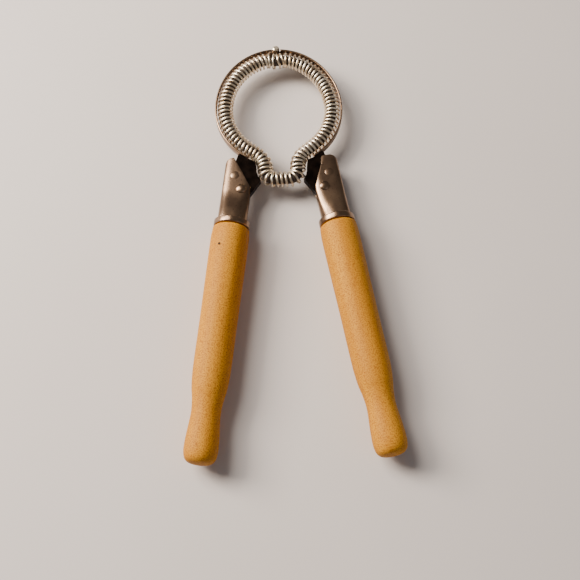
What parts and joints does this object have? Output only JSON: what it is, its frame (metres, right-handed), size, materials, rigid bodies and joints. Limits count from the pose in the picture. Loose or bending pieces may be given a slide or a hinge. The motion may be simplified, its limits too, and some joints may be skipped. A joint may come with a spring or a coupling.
{
  "type": "nutcracker",
  "caption": "Hand nutcracker with a keyhole loop of coil spring backed by hinged metal bands, sheet-metal shanks and turned wooden handles.",
  "frame": {"origin": "middle of the part's box at the plane it lies on", "axes": "+Y towards the crown of the ring, handles towards -Y; +Z along the ring's axis, up as it lies flat; +X to the right lever"},
  "size_m": [0.0814, 0.177, 0.0151],
  "materials": {
    "wood": "waxed, satin",
    "bronzed_steel": "dark bronze plate, semi-gloss",
    "spring_steel": "bright nickel plate",
    "black_steel": "oil-blackened",
    "black_rubber": "dull"
  },
  "bodies": {
    "left_lever": {"left_handle": "wood", "left_collar": "bronzed_steel", "left_shank": "bronzed_steel", "left_jaw": "bronzed_steel", "left_web": "black_steel", "left_tang": "black_steel", "left_handle_pin": "black_steel", "left_upper_rivet": "bronzed_steel", "left_lower_rivet": "bronzed_steel", "hinge_pin": "spring_steel", "grip_spring": "spring_steel", "spring_core": "black_rubber"},
    "right_lever": {"right_handle": "wood", "right_collar": "bronzed_steel", "right_shank": "bronzed_steel", "right_jaw": "bronzed_steel", "right_web": "black_steel", "right_tang": "black_steel", "right_handle_pin": "black_steel", "right_upper_rivet": "bronzed_steel", "right_lower_rivet": "bronzed_steel"}
  },
  "joints": [
    {"name": "squeeze", "type": "hinge", "parent": "left_lever", "child": "right_lever", "pos_m": [0, 0.087, 0.00755], "axis": [0, 0, -1], "range_deg": [-4, 6], "stiffness_Nm_per_rad": 5, "deforming": ["grip_spring", "spring_core"]}
  ]
}
